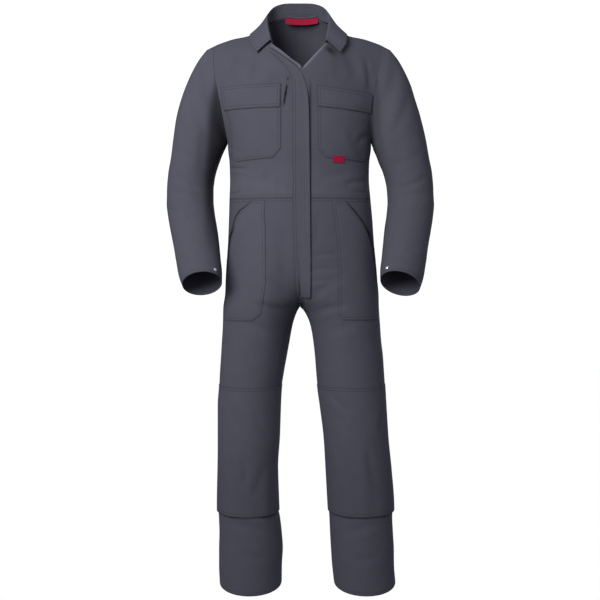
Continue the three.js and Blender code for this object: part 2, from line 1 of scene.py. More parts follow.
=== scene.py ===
import bmesh
import bpy
import numpy as np
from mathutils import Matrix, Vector


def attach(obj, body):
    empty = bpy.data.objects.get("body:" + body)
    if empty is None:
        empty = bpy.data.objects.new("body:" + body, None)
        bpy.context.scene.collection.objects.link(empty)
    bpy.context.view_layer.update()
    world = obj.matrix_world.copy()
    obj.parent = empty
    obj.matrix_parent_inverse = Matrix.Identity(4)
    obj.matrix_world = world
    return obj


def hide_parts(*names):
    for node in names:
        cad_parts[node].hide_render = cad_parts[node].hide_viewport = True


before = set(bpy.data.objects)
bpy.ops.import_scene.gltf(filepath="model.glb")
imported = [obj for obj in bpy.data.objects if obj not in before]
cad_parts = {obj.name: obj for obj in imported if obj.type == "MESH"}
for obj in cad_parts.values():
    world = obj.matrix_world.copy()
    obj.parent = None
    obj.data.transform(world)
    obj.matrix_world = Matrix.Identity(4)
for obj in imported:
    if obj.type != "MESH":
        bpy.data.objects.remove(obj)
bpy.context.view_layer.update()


# Twill: charcoal cotton and polyester cloth, matt, with fine diagonal ribs. Every cut piece carries the
# distance to its sewn borders, and the cloth shows there the turned edge, darker with a painted shade of
# the seam's groove, and two rows of stitches.
class Value:
    """A shader socket that takes part in sums, and makes any other node from its type and its inputs."""

    def __init__(self, tree, output=None):
        self.tree = tree
        self.output = output

    def make(self, kind, settings=None, inputs=None, output=0):
        node = self.tree.nodes.new(kind)
        for name, value in (settings or {}).items():
            setattr(node, name, value)
        for name, value in (inputs or {}).items():
            if isinstance(value, Value):
                self.tree.links.new(value.output, node.inputs[name])
            else:
                node.inputs[name].default_value = value
        return Value(self.tree, node.outputs[output])

    def math(self, operation, *values):
        return self.make("ShaderNodeMath", {"operation": operation}, dict(enumerate(values)))

    def __add__(self, other):
        return self.math("ADD", self, other)

    def __sub__(self, other):
        return self.math("SUBTRACT", self, other)

    def __mul__(self, other):
        return self.math("MULTIPLY", self, other)

    def __truediv__(self, other):
        return self.math("DIVIDE", self, other)

    def __rsub__(self, other):
        return self.math("SUBTRACT", other, self)

    __radd__ = __add__
    __rmul__ = __mul__

    def limited(self):
        return self.make("ShaderNodeClamp", None, {"Value": self})

    def line(self, place, half_width):
        """1 where the value is at the place, falling to 0 at half a width away."""
        return (1 - (self - place).math("ABSOLUTE", self - place) / half_width).limited()


def start_material(name, settings):
    material = bpy.data.materials.new(name)
    material.use_nodes = True
    shader = material.node_tree.nodes["Principled BSDF"]
    for socket, value in settings.items():
        shader.inputs[socket].default_value = value
    return material, shader, Value(material.node_tree)


def finish_material(shader, colour, height, distance):
    tree = colour.tree
    tree.links.new(colour.output, shader.inputs["Base Color"])
    bump = height.make("ShaderNodeBump", None, {"Height": height, "Distance": distance, "Strength": 1.0})
    tree.links.new(bump.output, shader.inputs["Normal"])


def twill_cloth(name, shade, edge_tone):
    """Matt twill of one shade, with its ribs, its soft unevenness, and the stitching along sewn borders.
    edge_tone is how dark the cloth is at its turned edge, a painted shade of the seam's groove, and shade_at
    paints shade into the colour, as in a pocket's mouth, and paints light where it is negative."""
    material, shader, node = start_material(name, {"Roughness": 0.95, "Specular IOR Level": 0.08})
    dark = node.make("ShaderNodeAttribute", {"attribute_name": "shade_at"}, None, "Fac")
    edge = node.make("ShaderNodeAttribute", {"attribute_name": "edge_mm"}, None, "Fac")
    row = node.make("ShaderNodeAttribute", {"attribute_name": "row_mm"}, None, "Fac")
    coordinate = node.make("ShaderNodeUVMap", {"uv_map": "cloth"})
    across = coordinate.make("ShaderNodeSeparateXYZ", None, {"Vector": coordinate}, "X")
    along = coordinate.make("ShaderNodeSeparateXYZ", None, {"Vector": coordinate}, "Y")
    ribs = ((across + along) * (2 * np.pi / 0.0011)).math("SINE", (across + along) * (2 * np.pi / 0.0011))
    fibres = node.make("ShaderNodeTexNoise", None, {"Vector": coordinate, "Scale": 900.0, "Detail": 2.0}, "Fac")
    mottle = node.make("ShaderNodeTexNoise", None, {"Vector": coordinate, "Scale": 22.0, "Detail": 3.0}, "Fac")
    wave = ((across + along) * (2 * np.pi / 0.0034)).math("SINE", (across + along) * (2 * np.pi / 0.0034))
    thread = (wave * 1.6 + 0.9).limited()
    pits = (edge.line(1.9, 1.1) + edge.line(8.1, 1.1) + row.line(0, 1.1)).limited()
    turned = (edge / 1.1).limited()
    ridge = edge.line(5.0, 3.4)
    # edge_tone darkens the turned edge: a painted shade of the seam's groove.
    tone = (0.93 + mottle * 0.14) * (1 - pits * (0.55 - thread * 0.3)) * (edge_tone + turned * (1 - edge_tone))
    # shade_at is painted shade, and painted light where it is negative.
    tone = tone * (0.985 + fibres * 0.03) * (1 - dark * 0.8)
    colour = tone.make("ShaderNodeVectorMath", {"operation": "SCALE"}, {"Vector": shade, "Scale": tone})
    height = turned * 0.4 + ridge * 0.14 - pits * (0.4 - thread * 0.2) + ribs * 0.045 + fibres * 0.05
    finish_material(shader, colour, height + mottle * 0.5, 0.0009)
    return material


# The last number is the painted shade at the turned edges, deeper on the patches.
twill = twill_cloth("charcoal_twill", (0.0475, 0.0475, 0.061), 0.86)
patch_twill = twill_cloth("charcoal_twill_patch", (0.0475, 0.0475, 0.061), 0.7)


# Bodice fronts: two pieces of twill from the waist seam to the shoulders, cut away for the neck and
# the armholes. The centre edges meet under the placket. Sizes are in millimetres, as cut and worn.
class Table:
    """Rows of sizes with named columns, read smoothly or straight between rows of the first column."""

    def __init__(self, names, rows, straight=False):
        values = np.array(rows, float)
        values = values if values[-1, 0] > values[0, 0] else values[::-1]
        self.names = names.split()
        self.values = values
        self.straight = straight
        rates = np.diff(values, axis=0) / np.diff(values[:, :1], axis=0)
        total = rates[:-1] + rates[1:]
        product = rates[:-1] * rates[1:]
        inner = np.where(product > 0, 2 * product / np.where(product > 0, total, 1), 0)
        self.rates = np.vstack([rates[:1], inner, rates[-1:]])

    def read(self, place):
        key = self.values[:, 0]
        place = np.clip(place, key[0], key[-1])
        low = np.clip(np.searchsorted(key, place, side="right") - 1, 0, len(key) - 2)
        span = (key[low + 1] - key[low])[..., None]
        part = (place - key[low])[..., None] / span
        first, last = self.values[low], self.values[low + 1]
        if self.straight:
            found = first + (last - first) * part
        else:
            found = ((2 * part**3 - 3 * part**2 + 1) * first + (3 * part**2 - 2 * part**3) * last
                     + ((part**3 - 2 * part**2 + part) * self.rates[low]
                        + (part**3 - part**2) * self.rates[low + 1]) * span)
        return {name: found[..., column] for column, name in enumerate(self.names)}


def numbered(rows):
    """The same rows with their own number in front, for a table that is read row by row."""
    return [[number, *row] for number, row in enumerate(rows)]


def step_between(value, low, high):
    part = np.clip((value - low) / (high - low), 0, 1)
    return part * part * (3 - 2 * part)


waist, shoulder_tip, armpit, neck_middle, neck_reach = -440, -18, -287, -4, 82
bodice = Table("z half middle front back edge_front edge_back turn", [
    [-440, 194, 0, 116, 118, 0, 0, 90], [-385, 191, -1.4, 118, 120, 0, 0, 90],
    [-340, 192, -1.7, 121, 123, 0, 0, 90], [-300, 196.5, -1.4, 123.6, 127.5, 0, 0, 90],
    [-287, 197, -1.4, 124, 128.5, 0, 0, 90], [-280, 197.6, -1.8, 124, 128.7, 12, 13, 86],
    [-262, 198.6, -3, 123.8, 129, 26, 28, 80.5], [-235, 200.6, -5, 123.4, 129, 40, 43, 74.5],
    [-200, 204, -8, 122.5, 129, 52, 56, 68.5], [-160, 209.6, -10.3, 121.3, 129, 60, 65, 63],
    [-120, 217, -10.8, 119.7, 128.4, 65, 71, 59], [-85, 223, -10, 118.4, 127.4, 66, 73, 56],
    [-43, 227, -9, 117, 126, 65, 72, 52], [-18, 227.6, -8.7, 116, 125, 64, 70, 50],
])
ridge_front = Table("reach z", [
    [0, 58], [40, 55], [82, 44], [107, 25.5], [141, 10], [177, 2.5], [204, -6], [225, -14], [233, -18]])
ridge_back = Table("reach z", [
    [0, 116], [34, 110], [62, 92], [76, 66], [82, 44], [107, 25.5], [141, 10], [177, 2.5], [204, -6],
    [225, -14], [233, -18]])
outer_heights = Table("row z", numbered(
    [[waist + 0.2], [-408], [-376], [-345], [-315]]
    + [[shoulder_tip - (shoulder_tip - armpit) * (1 - np.cos(np.pi * (1 - step / 9))) / 2] for step in range(10)]))
front_edge = Table("row right_x right_z left_x left_z", numbered([
    [-12.2, -439.8, -11.8, -439.8], [-12.2, -400, -11.8, -400], [-12.2, -356, -11.8, -356],
    [-12.2, -312, -11.8, -312], [-12.2, -268, -11.8, -268], [-12.2, -226, -11.8, -226],
    [-12.2, -188, -11.8, -188], [-12.2, -155, -11.8, -156], [-12.2, -127, -11.5, -128],
    [4, -97.5, 5, -100], [-24, -71, 28, -72], [-52, -45.5, 50, -46], [-75, -24, 69, -21],
    [-83, 12, 76, 12], [-86, 44, 78, 44]]))


def ridge(rows, x):
    return rows.read(np.abs(x - neck_middle))["z"]


def bodice_depth(x, z, front):
    """How far the bodice stands out at x and z: part of an ellipse, rolling over to the shoulders."""
    row = bodice.read(z)
    across = np.minimum(np.abs(x - row["middle"]) / row["half"], 1)
    full, edge = (row["front"], row["edge_front"]) if front else (row["back"], row["edge_back"])
    below = ridge(ridge_front if front else ridge_back, x) - z
    drop = np.clip(below / (170 if front else 160), 0, 1)
    power = 1.5 if front else 1.7
    depth = ((full**3 - edge**3) * (1 - across**2) ** 1.5 + edge**3) ** (1 / 3)
    return np.maximum(depth * (1 - (1 - drop) ** power) ** (1 / power), 0.06)


def shoulder_lift(side, z):
    """How far the outer border at a height is lifted, so that the top meets the shoulder ridge there."""
    tip = bodice.read(shoulder_tip)
    rise = ridge(ridge_front, tip["middle"] + side * tip["half"]) - shoulder_tip
    return rise * np.maximum((z - waist) / (shoulder_tip - waist), 0) ** 1.6


def bodice_front(side):
    def place(across, up):
        edge = front_edge.read(up * 14)
        inner_x, inner_z = (edge["right_x"], edge["right_z"]) if side < 0 else (edge["left_x"], edge["left_z"])
        outer_z = outer_heights.read(up * 14)["z"]
        shape = bodice.read(outer_z)
        outer_x = shape["middle"] + side * shape["half"]
        turn = np.radians(shape["turn"])
        height = np.maximum((outer_z - waist) / (shoulder_tip - waist), 0) ** 2
        x = inner_x + (outer_x - inner_x) * np.sin(across * turn) / np.sin(turn)
        straight = ridge(ridge_front, inner_x) * (1 - across) + ridge(ridge_front, outer_x) * across
        lifted = outer_z + shoulder_lift(side, outer_z)
        z = inner_z + (lifted - inner_z) * across + (ridge(ridge_front, x) - straight) * height
        return np.stack([x, -bodice_depth(x, z, True), z], 1)
    return place


def fold_rise(rows, x, z):
    """Height of soft folds in front view. Each row is a line from x1, z1 to x2, z2, bowed sideways, with
    its width and its height: a trough where the height is negative, and a smaller rise beside it."""
    total = np.zeros_like(x)
    for x1, z1, x2, z2, width, height, bow in rows:
        length = np.hypot(x2 - x1, z2 - z1)
        along = ((x - x1) * (x2 - x1) + (z - z1) * (z2 - z1)) / length**2
        aside = ((x - x1) * (z2 - z1) - (z - z1) * (x2 - x1)) / length - bow * 4 * along * (1 - along)
        ends = step_between(along, -0.12, 0.3) * (1 - step_between(along, 0.7, 1.12))
        beside = np.exp(-(((aside - 1.5 * width) / (1.2 * width)) ** 2))
        total += height * ends * (np.exp(-((aside / width) ** 2)) - 0.45 * beside)
    return total


def grid_of(mesh, columns, rows):
    """Order of the mesh's points by row and then by column, with each one's share across and up."""
    spots = np.empty(len(mesh.vertices) * 3)
    mesh.vertices.foreach_get("co", spots)
    shares = spots.reshape(-1, 3)[:, :2] + 0.5
    cells = np.rint(shares * [columns, rows]).astype(int)
    return np.lexsort((cells[:, 0], cells[:, 1])), shares


def sew(name, place, columns, rows, sewn="", out=0, folds=((), ()), thickness=1.6, ring=False,
        cloth=None, outward=0, underarm=False, shaded=None, row=None):
    """Cuts a grid of cloth, lays it at place(across, up), moves it out along the cloth's own normals by
    out(x, z) and its folds, and marks the distance to the borders that are sewn: l, r, b and t. row is a
    border and the distance from it of one more row of stitches, and shaded(x, z) is painted shade in the
    cloth's colour, and painted light where it is negative."""
    shell = bmesh.new()
    bmesh.ops.create_grid(shell, x_segments=columns, y_segments=rows, size=0.5)
    for edge in shell.edges:
        edge.smooth = not edge.is_boundary
    mesh = bpy.data.meshes.new(name)
    shell.to_mesh(mesh)
    shell.free()
    order, shares = grid_of(mesh, columns, rows)
    across, up = shares[order].T
    points = place(across, up)
    step = 0.002
    before, after = across - step, across + step
    if not ring:
        before, after = np.clip(before, 0, 1), np.clip(after, 0, 1)
    below, above = np.clip(up - step, 0, 1), np.clip(up + step, 0, 1)
    normals = np.cross(place(after, up) - place(before, up), place(across, above) - place(across, below))
    normals /= np.maximum(np.linalg.norm(normals, axis=1, keepdims=True), 1e-9)
    sign = outward or np.sign(np.sum(normals * (points - points.mean(0))))
    normals *= sign
    x, z = points[:, 0], points[:, 2]
    facing = step_between(np.abs(normals[:, 1]), 0.05, 0.45)
    rise = np.where(normals[:, 1] < 0, fold_rise(folds[0], x, z), fold_rise(folds[1], x, z)) * facing
    away = out(x, z) if callable(out) else out
    points = points + normals * (rise + away)[:, None]
    cells = points.reshape(rows + 1, columns + 1, 3)
    right = np.cumsum(np.linalg.norm(np.diff(cells, axis=1, prepend=cells[:, :1]), axis=2), axis=1)
    top = np.cumsum(np.linalg.norm(np.diff(cells, axis=0, prepend=cells[:1]), axis=2), axis=0)
    far = {"l": right, "r": right[:, -1:] - right, "b": top, "t": top[-1:] - top}
    edge = np.full(right.shape, 60.0)
    for border in sewn:
        edge = np.minimum(edge, far[border])
    if underarm:
        edge = np.minimum(edge, np.abs(right - right[:, columns // 2][:, None]))
    print(name, "width", round(float(right[:, -1].max()), 1), "length", round(float(top[-1].max()), 1))
    placed = np.empty_like(points)
    placed[order] = points / 1000
    mesh.vertices.foreach_set("co", placed.ravel())
    distance = np.empty(len(order))
    distance[order] = edge.ravel()
    mesh.attributes.new("edge_mm", "FLOAT", "POINT").data.foreach_set("value", distance)
    distance[order] = np.abs(far[row[0]] - row[1]).ravel() if row else 60
    mesh.attributes.new("row_mm", "FLOAT", "POINT").data.foreach_set("value", distance)
    # shade_at carries the painted shade, and painted light where negative, fading out where the cloth faces the
    # back.
    dark = np.zeros(len(order))
    if shaded:
        dark[order] = shaded(x, z) * step_between(-normals[:, 1], -0.5, 0)
    mesh.attributes.new("shade_at", "FLOAT", "POINT").data.foreach_set("value", dark)
    flat = np.empty((len(order), 2))
    flat[order] = np.stack([(right - right[:, columns // 2][:, None]).ravel(), top.ravel()], 1) / 1000
    corners = np.empty(len(mesh.loops), int)
    mesh.loops.foreach_get("vertex_index", corners)
    mesh.uv_layers.new(name="cloth")
    mesh.uv_layers["cloth"].data.foreach_set("uv", flat[corners].ravel())
    if ring:
        joined = bmesh.new()
        joined.from_mesh(mesh)
        bmesh.ops.remove_doubles(joined, verts=joined.verts, dist=0.00002)
        for edge in joined.edges:
            edge.smooth = not edge.is_boundary
        joined.to_mesh(mesh)
        joined.free()
    if sign < 0:
        mesh.flip_normals()
    mesh.shade_smooth()
    piece = bpy.data.objects.new(name, mesh)
    bpy.context.collection.objects.link(piece)
    wall = piece.modifiers.new("wall", "SOLIDIFY")
    wall.thickness = thickness / 1000
    wall.offset = -1
    mesh.materials.append(cloth or twill)
    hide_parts(name)
    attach(piece, "root")
    return piece


bodice_folds_front = [
    [-196, -354, -140, -363, 4.5, -3.8, 1], [-192, -428, -158, -421, 4, -3.2, 2],
    [-196, -300, -150, -322, 8, -1.6, -3], [192, -262, 150, -296, 9, -2.2, 4],
    [-32, -128, -44, -212, 2.4, -2.4, 0],
    [190, -392, 120, -402, 8, -1.8, 3], [186, -424, 140, -420, 6, -1.6, -2],
    [-150, -385, -70, -398, 11, -1.4, 4], [60, -384, 130, -380, 11, -1.2, -4],
    [-150, -40, -180, -140, 15, -4.2, 6], [118, -40, 150, -120, 16, -2.4, -6],
    [-104, -50, -122, -140, 12, -3.4, 4], [176, -60, 186, -150, 9, -2.4, -4],
    [-166, -92, -158, -150, 8, -2.4, 3], [128, -262, 176, -330, 12, -1.8, 3],
    [-92, -372, -78, -436, 12, -1.6, 2], [-58, -388, -52, -432, 8, -1.2, 1],
]
bodice_folds_back = [
    [-150, -120, -120, -300, 16, -2.4, 8], [150, -110, 112, -300, 16, -2.4, -8],
    [-185, -250, -120, -300, 10, -2.6, 5], [185, -250, 120, -290, 10, -2.6, -5],
    [-180, -390, -90, -410, 9, -2.4, -4], [180, -396, 80, -408, 9, -2.4, 4],
    [-60, -418, 60, -412, 8, -1.8, 3], [-90, -180, -60, -330, 18, -1.4, -6], [96, -190, 60, -320, 18, -1.4, 6],
]
bodice_folds = (bodice_folds_front, bodice_folds_back)


def low_shade(z):
    """Painted shade on the chest and painted light at the waist: the chest a little darker and the waist a little
    lighter than the cloth between them.
    """
    return 0.06 * step_between(z, -240, -160) - 0.14 * step_between(-z, 330, 400)


def right_front_shade(x, z):
    """Painted shade for the open slit of an inner pocket beside the right flap and for a small tack above it,
    painted shade beside the placket's turned top, a painted highlight on the pale folded edge along the
    neckline, and the chest's painted shade and the waist's painted light."""
    slit = np.exp(-(((x + 10.2 - z * 0.164) / 2.2) ** 2)) * step_between(z, -206, -180) * step_between(-z, 140, 150)
    tack = np.exp(-(((x + 32) / 2.6) ** 2) - ((z + 127) / 3.4) ** 2)
    above = z - np.interp(x, [-75, -54, -31, -10, 3], [-44.5, -61, -79, -96, -111])
    within = step_between(x, -82, -70) * (1 - step_between(x, 2, 8))
    beside = np.exp(-(((above - 2) / 2.8) ** 2)) * within
    pale = step_between(above, 5, 10) * within * (1 - step_between(above, 22, 30))
    return np.minimum(np.maximum(np.maximum(slit * 1.7, tack), beside * 0.75), 1.15) - pale * 0.55 + low_shade(z)


def placket_shadow(x, z):
    """Painted deep shade on the left side, close beside the free edge of the placket."""
    return 0.85 * np.exp(-(((x - 26.5) / 3.2) ** 2)) * step_between(-z, 118, 175) * (1 - step_between(-z, 690, 720))


def left_front_shade(x, z):
    """The placket's painted shadow, painted shade in the hollow under the collar's point, a painted highlight
    on the pale turned edge along the neckline, and the chest's painted shade and the waist's painted light."""
    away = (x - np.interp(z, [-100, -72, -46, -21, 12], [5, 28, 50, 69, 76])) * 0.78
    pale = np.exp(-(((away - 1.5) / 3.4) ** 2)) * step_between(z, -102, -92)
    along, aside = (x - 80) * 0.73 - (z + 45) * 0.68, (x - 80) * 0.68 + (z + 45) * 0.73
    hollow = np.exp(-((along / 17) ** 2) - (aside / 8) ** 2) * (1 - pale)
    return np.maximum(placket_shadow(x, z), hollow * 0.85) - 1.5 * pale + low_shade(z)


front_right = sew("front_right", bodice_front(-1), 90, 140, "bt", folds=bodice_folds, row=("l", 18.4),
                  shaded=right_front_shade)
front_left = sew("front_left", bodice_front(1), 90, 140, "bt", folds=bodice_folds, shaded=left_front_shade)


# Back: one piece of twill from armhole to armhole, waist seam to back neck. The shoulder seams, side
# seams and armholes are felled and stitched twice.
neck_back = Table("reach z", [[0, 79], [34, 76], [62, 66], [76, 53], [82, 44]])


def bodice_back(across, up):
    outer_z = outer_heights.read(up * 14)["z"]
    shape = bodice.read(outer_z)
    top = bodice.read(np.full_like(up, shoulder_tip))
    share = across * 2 - 1
    climb = np.maximum((outer_z - waist) / (shoulder_tip - waist), 0) ** 1.6
    top_turn = np.radians(top["turn"])
    top_x = top["middle"] + top["half"] * np.sin(share * top_turn) / np.sin(top_turn)
    reach = np.abs(top_x - neck_middle)
    top_z = np.where(reach < neck_reach, neck_back.read(reach)["z"], ridge(ridge_back, top_x))
    turn = np.radians(shape["turn"])
    x = shape["middle"] + shape["half"] * np.sin(share * turn) / np.sin(turn)
    z = outer_z + (top_z - shoulder_tip) * climb
    return np.stack([x, bodice_depth(x, z, False), z], 1)


back = sew("back", bodice_back, 120, 126, "bt", folds=bodice_folds)


# Sleeves: one piece each, set in at the armhole and closed under the arm. The forearm bends forward,
# and the open cuff is turned in and stitched.
sleeve = Table("ring crown_x crown_z under_x under_z y half slope left_crown left_under", [
    [1, 257, -28, 200.5, -290.5, 0, 68, 0, -9, -3], [2, 277, -54, 202, -293.5, 0, 70, 0, -8, -3.5],
    [3, 294, -84, 204, -297, 0, 71, 0, -8, -4], [4, 311, -121, 207, -303, 1, 71.5, 0, -8, -5],
    [5, 326, -162, 211, -311, 2, 71, 0, -10, -5], [6, 340, -214, 216, -322, 3, 70, 0, -8, -5],
    [7, 348, -267, 222, -338, 4, 69, 0, -3, -5], [8, 355, -322, 229, -358, 5, 67.5, 0, 0, -3],
    [9, 363, -370, 235, -383, 5, 66, 2, 1, -1], [10, 366, -414, 238, -411, 3, 65, 6, 1, 1],
    [11, 366, -450, 237.5, -442, -3, 64, 12, 2, 3], [12, 361, -486, 233, -478, -14, 62, 19, 3, 4],
    [13, 351, -529, 224, -522, -34, 60, 26, 4, 5], [14, 340, -569, 217, -562, -57, 58, 31, 5, 6],
    [15, 330, -608, 211, -602, -83, 56, 34, 6, 6], [16, 320, -645, 205.5, -635, -107, 54, 37, 6, 6],
    [17, 308.5, -670, 204, -660, -126, 53, 38, 6, 6],
])


def sleeve_point(side, ring, turn):
    row = sleeve.read(ring)
    crown_x = row["crown_x"] + (row["left_crown"] if side > 0 else 0)
    under_x = row["under_x"] + (row["left_under"] if side > 0 else 0)
    slope = np.radians(row["slope"])
    x = (crown_x + under_x) / 2 + (crown_x - under_x) / 2 * np.cos(turn)
    y = row["y"] - np.sin(turn) * row["half"] * np.cos(slope)
    tilt = 7 * step_between(ring, 14, 17) if side > 0 else 0
    z = (row["crown_z"] + row["under_z"]) / 2 + ((row["crown_z"] - row["under_z"]) / 2 - tilt) * np.cos(turn)
    return np.stack([side * x, y, z + np.sin(turn) * row["half"] * np.sin(slope)], 1)


def set_in_sleeve(side):
    def place(across, up):
        turn = across * 2 * np.pi
        ring = up * 17
        z = shoulder_tip - (shoulder_tip - armpit) * (1 - np.cos(turn)) / 2
        shape = bodice.read(z)
        hole_x = shape["middle"] + side * shape["half"]
        z = z + shoulder_lift(side, z)
        front = np.sin(turn) >= 0
        depth = np.where(front, -bodice_depth(hole_x, z, True), bodice_depth(hole_x, z, False))
        depth = depth * step_between(np.abs(np.sin(turn)), 0, 0.12)
        armhole = np.stack([hole_x + side * 0.6, depth, z], 1)
        points = sleeve_point(side, ring, turn)
        clear = armhole[:, 0] * side + 1.5 * ring
        near = 1 - step_between(ring, 3.6, 4.6)
        reach = points[:, 0] * side
        points[:, 0] = side * (reach + (np.maximum(reach, clear) - reach) * near)
        points[:, 1] = armhole[:, 1] + (points[:, 1] - armhole[:, 1]) * step_between(ring, 0, 6)
        share = np.clip(ring, 0, 1)[:, None]
        return armhole * (1 - share) + points * share
    return place


sleeve_folds_front = [
    [-262, -70, -226, -200, 15, -2.4, 8], [-296, -130, -236, -290, 16, -2.6, 10],
    [-250, -250, -262, -380, 14, -2.6, 6], [-344, -372, -262, -414, 9, -2.0, 5],
    [-340, -424, -262, -440, 8, -1.8, -4], [-352, -474, -282, -462, 9, -1.6, 4],
    [-330, -300, -240, -350, 12, -1.4, 6], [-316, -560, -236, -590, 10, -1.2, 4],
    [258, -72, 224, -190, 14, -2.2, -8], [298, -140, 238, -280, 15, -2.4, -9],
    [262, -270, 256, -380, 14, -1.8, -5], [346, -376, 266, -410, 9, -1.7, -5],
    [342, -426, 268, -438, 8, -1.5, 4], [352, -476, 276, -460, 9, -1.4, -4],
    [332, -310, 242, -352, 12, -1.2, -6], [318, -566, 238, -588, 10, -1.2, -4],
]
sleeve_folds_back = [[-x1, z1 + 8, -x2, z2 + 12, width, height * 0.9, -bow]
                     for x1, z1, x2, z2, width, height, bow in sleeve_folds_front]
sleeve_folds = (sleeve_folds_front, sleeve_folds_back)
# Painted shade under the arms: how dark at each height, full out to full and gone at none.
underarm_right = Table("z full none dark", [
    [-50, 214, 222, 0], [-110, 219, 236, 0.52], [-184, 226, 252, 0.84], [-289, 236, 262, 0.84],
    [-390, 244, 268, 0.7], [-525, 238, 262, 0.4], [-590, 230, 256, 0]])
underarm_left = Table("z full none dark", [
    [-80, 204, 212, 0], [-130, 206, 216, 0.3], [-200, 210, 222, 0.3], [-290, 214, 232, 0.2], [-400, 230, 250, 0]])


def underarm_shade(rows):
    """Painted shade where the sleeve folds in against the body, in front view."""
    def shaded(x, z):
        row = rows.read(z)
        return row["dark"] * (1 - step_between(np.abs(x), row["full"], row["none"]))
    return shaded


sleeve_right = sew("sleeve_right", set_in_sleeve(-1), 108, 140, "t", folds=sleeve_folds, ring=True,
                   underarm=True, shaded=underarm_shade(underarm_right))
sleeve_left = sew("sleeve_left", set_in_sleeve(1), 108, 140, "t", folds=sleeve_folds, ring=True,
                  underarm=True, shaded=underarm_shade(underarm_left))


# Trouser legs: a front and a back for each leg, from the waist seam to the hem, joined at the side
# seam, the inseam and the crotch. The hem hangs a little lower at the front.
leg_depths = Table("z front back", [
    [-440, 116, 118], [-560, 119, 126], [-650, 117, 130], [-700, 114, 127], [-734, 110, 122],
    [-781, 104, 113], [-869, 96, 102], [-957, 90, 93], [-1089, 86, 88], [-1200, 84, 87],
    [-1309, 82, 85], [-1397, 83, 85], [-1485, 84, 85]])
crotch_curve = [
    [-440, -194], [-500, -192], [-560, -185], [-605, -165], [-650, -120], [-680, -76], [-700, -46],
    [-715, -25], [-727, -8]]
leg_inner = {
    -1: Table("z x", [*crotch_curve, [-734, 0.02], [-745, 7], [-781, 19.5], [-825, 28], [-869, 36],
                      [-913, 44], [-957, 50.5], [-1001, 53], [-1089, 56], [-1177, 62], [-1287, 60],
                      [-1309, 55.5], [-1353, 50], [-1397, 47], [-1441, 49.5], [-1485, 50]]),
    1: Table("z x", [*crotch_curve, [-734, 0.02], [-745, 11], [-781, 27.5], [-825, 36], [-869, 41],
                     [-913, 44.5], [-957, 48.5], [-1001, 54.5], [-1089, 65.5], [-1177, 71.5],
                     [-1287, 79], [-1309, 80.5], [-1353, 82.5], [-1397, 85], [-1441, 88], [-1485, 93]])}
leg_outer = {
    -1: Table("z x", [[-440, 194], [-495, 195.5], [-560, 198], [-605, 201], [-650, 203.5], [-700, 206],
                      [-737, 211], [-781, 212], [-825, 214.5], [-869, 217], [-913, 220], [-957, 222],
                      [-1001, 225], [-1089, 225], [-1177, 224.5], [-1287, 224], [-1309, 223],
                      [-1353, 221.5], [-1397, 222.5], [-1441, 222.5], [-1485, 220.5]]),
    1: Table("z x", [[-440, 194], [-495, 199], [-560, 203.5], [-605, 208], [-650, 211.5], [-700, 216],
                     [-737, 217], [-781, 220], [-825, 223], [-869, 228], [-913, 231], [-957, 234],
                     [-1001, 236.5], [-1089, 242], [-1177, 249.5], [-1287, 254.5], [-1309, 253.5],
                     [-1353, 255.5], [-1397, 258], [-1441, 258.5], [-1485, 262]])}
hem = -1485


def leg_ring(side, z):
    outer, inner = leg_outer[side].read(z)["x"], leg_inner[side].read(z)["x"]
    middle, half = (outer + inner) / 2, (outer - inner) / 2
    return middle, half, leg_depths.read(z)


def leg_point(side, front, turn, z):
    middle, half, depth = leg_ring(side, z)
    deep = np.maximum((depth["front"] if front else depth["back"]) * np.sin(turn), 0.06)
    dip = 15 * step_between(-z, 1397, 1485) * np.maximum(np.sin(turn), 0) ** 0.7 if front else 0
    return np.stack([side * (middle + half * np.cos(turn)), -deep if front else deep, z - dip], 1)


def leg_panel(side, front):
    def place(across, up):
        z = hem + (waist - 0.2 - hem) * up
        middle, half, depth = leg_ring(side, z)
        end = np.arccos(np.clip((0.02 - middle) / half, -1, 1))
        return leg_point(side, front, across * end, z)
    return place


leg_folds_front = [
    [-30, -700, -110, -650, 12, -2.2, 5], [34, -700, 110, -655, 12, -2.2, -5],
    [-40, -740, -130, -720, 10, -2.4, 4], [44, -742, 130, -724, 10, -2.4, -4],
    [-70, -800, -150, -770, 12, -1.6, 4], [76, -800, 150, -775, 12, -1.6, -4],
    [-176, -995, -168, -1062, 7, -2.6, 3], [-156, -1130, -144, -1196, 8, -2.6, -3],
    [-96, -1150, -130, -1240, 13, -2.0, -5], [-118, -1010, -80, -1090, 12, -1.6, 5],
    [84, -962, 136, -1012, 10, -2.8, 4], [182, -1100, 200, -1200, 11, -2.8, 5],
    [120, -1120, 150, -1230, 14, -1.8, -5], [230, -1000, 215, -1070, 9, -1.8, 3],
    [-48, -520, -34, -690, 17, -3.2, 3], [46, -480, 40, -560, 12, -1.6, -3],
    [-90, -1330, -180, -1310, 11, -1.8, 4], [-80, -1400, -170, -1385, 12, -1.4, -4],
    [120, -1335, 210, -1315, 11, -1.8, -4], [130, -1405, 220, -1390, 12, -1.4, 4],
    [28, -590, 104, -585, 6, -1.8, 2], [28, -630, 98, -628, 6, -1.6, -2], [28, -658, 92, -654, 6, -1.6, 2],
]
